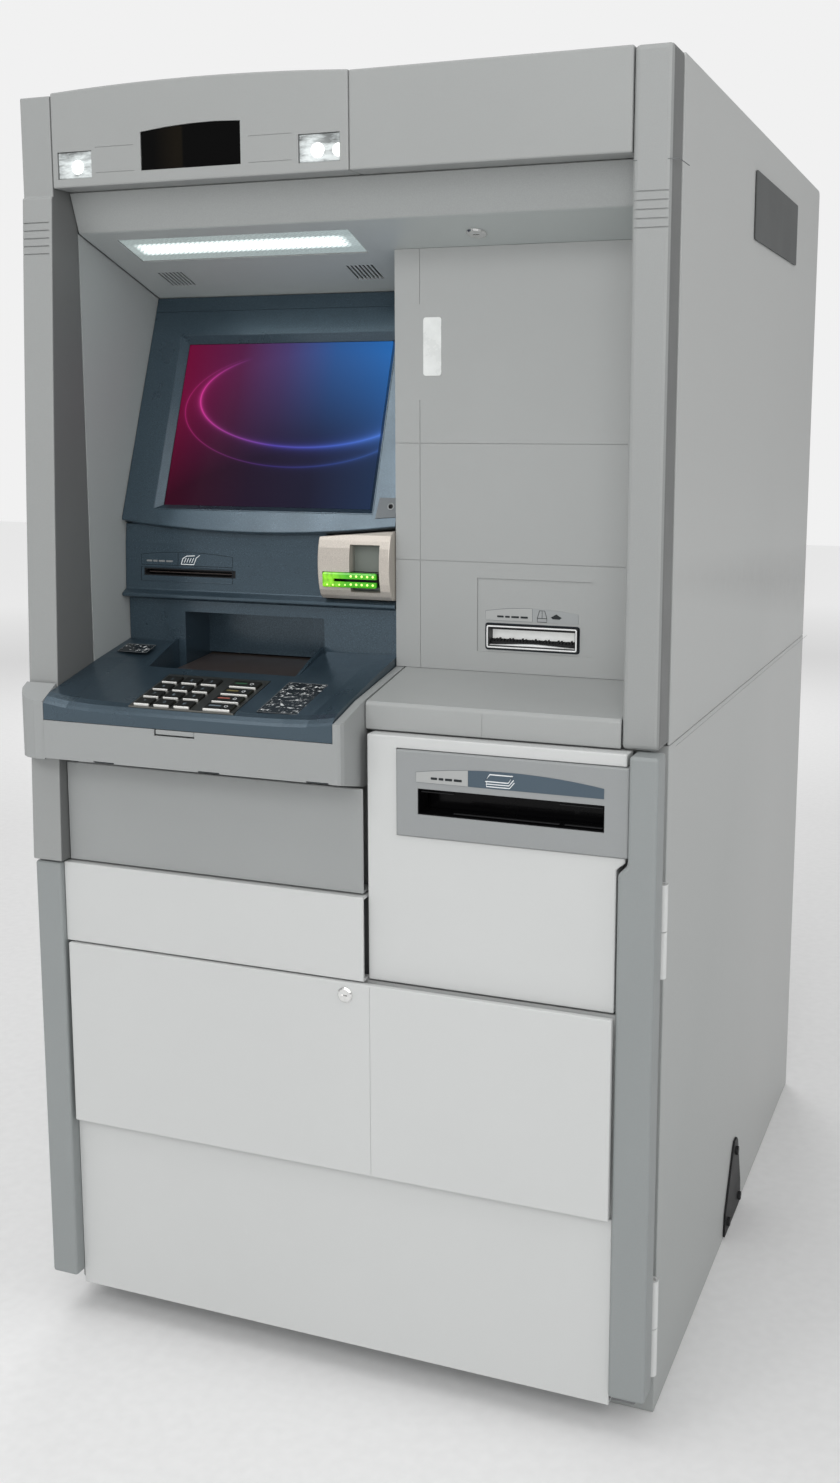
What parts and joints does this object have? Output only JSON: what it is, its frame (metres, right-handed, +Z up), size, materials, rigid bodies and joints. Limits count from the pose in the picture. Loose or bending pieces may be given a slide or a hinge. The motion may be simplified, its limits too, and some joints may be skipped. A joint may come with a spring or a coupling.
{
  "type": "atm machine",
  "caption": "Free-standing cash machine: grey cabinet on a safe, recessed sloping screen, sprung keypad console, hinged fascia and hinged lower door with drop-down flap.",
  "frame": {"origin": "centre of the bounding box's footprint, on the floor", "axes": "+Z up; the customer side faces -Y; X runs across the machine, +X to the right when seen from the front"},
  "size_m": [0.835, 1.134, 1.6079],
  "materials": {
    "cabinet": "semi-gloss light grey powder coat",
    "fascia": "fine-textured light grey moulding",
    "pillar": "fine-textured mid grey moulding",
    "white": "satin off-white paint",
    "blue": "metallic dark blue-grey paint",
    "silver": "warm silver paint",
    "steel": "satin steel",
    "chrome": "bright plating",
    "dark": "black",
    "shutter": "brown-black",
    "safe": "dark grey primer",
    "display": "glossy dark display front",
    "lens": "frosted white lens",
    "green": "clear green light guide",
    "module": "plated sheet metal"
  },
  "bodies": {
    "cabinet": {"safe_body": "cabinet", "cabinet_shell": "cabinet", "anchor_bracket_left": "dark", "anchor_bracket_right": "dark", "hinge_pin_upper": "steel", "hinge_pin_lower": "steel", "cash_dispenser": "module", "cash_cassette_1": "dark", "cash_cassette_2": "dark", "computer_core": "module"},
    "fascia": {"header_left_panel": "fascia", "header_right_panel": "fascia", "left_pillar": "fascia", "right_pillar": "fascia", "canopy_soffit": "fascia", "recess_side_wall": "fascia", "utility_panel": "fascia", "ledge": "fascia", "screen_bezel": "blue", "display_module": "display", "card_band": "blue", "card_reader_bezel": "silver", "card_guide_light": "green", "light_lens": "lens", "sensor_window": "dark", "lamp_left": "lens", "lamp_right": "lens", "console_deck": "blue", "console_tray": "fascia", "skirt_panel": "fascia", "keypad_frame": "steel", "receipt_printer": "chrome"},
    "door": {"safe_door": "safe", "door_front_panel": "white", "right_front_panel": "white", "lower_left_pillar": "pillar", "lower_right_pillar": "pillar", "deposit_bezel": "fascia"},
    "flap": {"access_flap": "white"},
    "flap_lock": {"flap_lock_plug": "chrome"},
    "handle": {"safe_handle": "chrome"},
    "deposit_gate": {"deposit_shutter": "dark"},
    "cash_gate": {"cash_shutter": "shutter"},
    "fascia_lock": {"fascia_lock_plug": "chrome"},
    "button_1": {"key_1": "steel"},
    "button_2": {"key_2": "steel"},
    "button_3": {"key_3": "steel"},
    "button_4": {"key_4": "steel"},
    "button_5": {"key_5": "steel"},
    "button_6": {"key_6": "steel"},
    "button_7": {"key_7": "steel"},
    "button_8": {"key_8": "steel"},
    "button_9": {"key_9": "steel"},
    "button_0": {"key_0": "steel"},
    "button_star": {"key_star": "steel"},
    "button_hash": {"key_hash": "steel"},
    "button_enter": {"key_enter": "steel"},
    "button_clear": {"key_clear": "steel"},
    "button_cancel": {"key_cancel": "steel"},
    "button_help": {"key_help": "steel"}
  },
  "joints": [
    {"name": "fascia_swing", "type": "hinge", "parent": "cabinet", "child": "fascia", "pos_m": [-0.4085, -0.4535, 0], "axis": [0, 0, -1], "range_deg": [0, 90]},
    {"name": "door_swing", "type": "hinge", "parent": "cabinet", "child": "door", "pos_m": [0.41, -0.472, 0], "axis": [0, 0, 1], "range_deg": [0, 105]},
    {"name": "flap_drop", "type": "hinge", "parent": "door", "child": "flap", "pos_m": [0, -0.531, 0.289], "axis": [1, 0, 0], "range_deg": [0, 90]},
    {"name": "flap_lock_turn", "type": "hinge", "parent": "flap", "child": "flap_lock", "pos_m": [0.034, -0.533, 0.519], "axis": [0, -1, 0], "range_deg": [0, 90]},
    {"name": "handle_turn", "type": "hinge", "parent": "door", "child": "handle", "pos_m": [-0.09, -0.502, 0.42], "axis": [0, 1, 0], "range_deg": [0, 90]},
    {"name": "deposit_gate_slide", "type": "slide", "parent": "door", "child": "deposit_gate", "axis": [0, 0, -1], "range_m": [0, 0.036]},
    {"name": "cash_gate_slide", "type": "slide", "parent": "fascia", "child": "cash_gate", "axis": [0, 0.995, 0.0995], "range_m": [0, 0.06]},
    {"name": "fascia_lock_turn", "type": "hinge", "parent": "fascia", "child": "fascia_lock", "pos_m": [0.156, -0.411, 1.42805], "axis": [0, -0.3354, -0.9421], "range_deg": [0, 90]},
    {"name": "press_1", "type": "slide", "parent": "fascia", "child": "button_1", "axis": [0, 0.2516, -0.9678], "range_m": [0, 0.002], "stiffness_N_per_m": 400, "springref_m": -0.001},
    {"name": "press_2", "type": "slide", "parent": "fascia", "child": "button_2", "axis": [0, 0.2516, -0.9678], "range_m": [0, 0.002], "stiffness_N_per_m": 400, "springref_m": -0.001},
    {"name": "press_3", "type": "slide", "parent": "fascia", "child": "button_3", "axis": [0, 0.2516, -0.9678], "range_m": [0, 0.002], "stiffness_N_per_m": 400, "springref_m": -0.001},
    {"name": "press_4", "type": "slide", "parent": "fascia", "child": "button_4", "axis": [0, 0.2516, -0.9678], "range_m": [0, 0.002], "stiffness_N_per_m": 400, "springref_m": -0.001},
    {"name": "press_5", "type": "slide", "parent": "fascia", "child": "button_5", "axis": [0, 0.2516, -0.9678], "range_m": [0, 0.002], "stiffness_N_per_m": 400, "springref_m": -0.001},
    {"name": "press_6", "type": "slide", "parent": "fascia", "child": "button_6", "axis": [0, 0.2516, -0.9678], "range_m": [0, 0.002], "stiffness_N_per_m": 400, "springref_m": -0.001},
    {"name": "press_7", "type": "slide", "parent": "fascia", "child": "button_7", "axis": [0, 0.2516, -0.9678], "range_m": [0, 0.002], "stiffness_N_per_m": 400, "springref_m": -0.001},
    {"name": "press_8", "type": "slide", "parent": "fascia", "child": "button_8", "axis": [0, 0.2516, -0.9678], "range_m": [0, 0.002], "stiffness_N_per_m": 400, "springref_m": -0.001},
    {"name": "press_9", "type": "slide", "parent": "fascia", "child": "button_9", "axis": [0, 0.2516, -0.9678], "range_m": [0, 0.002], "stiffness_N_per_m": 400, "springref_m": -0.001},
    {"name": "press_0", "type": "slide", "parent": "fascia", "child": "button_0", "axis": [0, 0.2516, -0.9678], "range_m": [0, 0.002], "stiffness_N_per_m": 400, "springref_m": -0.001},
    {"name": "press_star", "type": "slide", "parent": "fascia", "child": "button_star", "axis": [0, 0.2516, -0.9678], "range_m": [0, 0.002], "stiffness_N_per_m": 400, "springref_m": -0.001},
    {"name": "press_hash", "type": "slide", "parent": "fascia", "child": "button_hash", "axis": [0, 0.2516, -0.9678], "range_m": [0, 0.002], "stiffness_N_per_m": 400, "springref_m": -0.001},
    {"name": "press_enter", "type": "slide", "parent": "fascia", "child": "button_enter", "axis": [0, 0.2516, -0.9678], "range_m": [0, 0.002], "stiffness_N_per_m": 400, "springref_m": -0.001},
    {"name": "press_clear", "type": "slide", "parent": "fascia", "child": "button_clear", "axis": [0, 0.2516, -0.9678], "range_m": [0, 0.002], "stiffness_N_per_m": 400, "springref_m": -0.001},
    {"name": "press_cancel", "type": "slide", "parent": "fascia", "child": "button_cancel", "axis": [0, 0.2516, -0.9678], "range_m": [0, 0.002], "stiffness_N_per_m": 400, "springref_m": -0.001},
    {"name": "press_help", "type": "slide", "parent": "fascia", "child": "button_help", "axis": [0, 0.2516, -0.9678], "range_m": [0, 0.002], "stiffness_N_per_m": 400, "springref_m": -0.001}
  ]
}
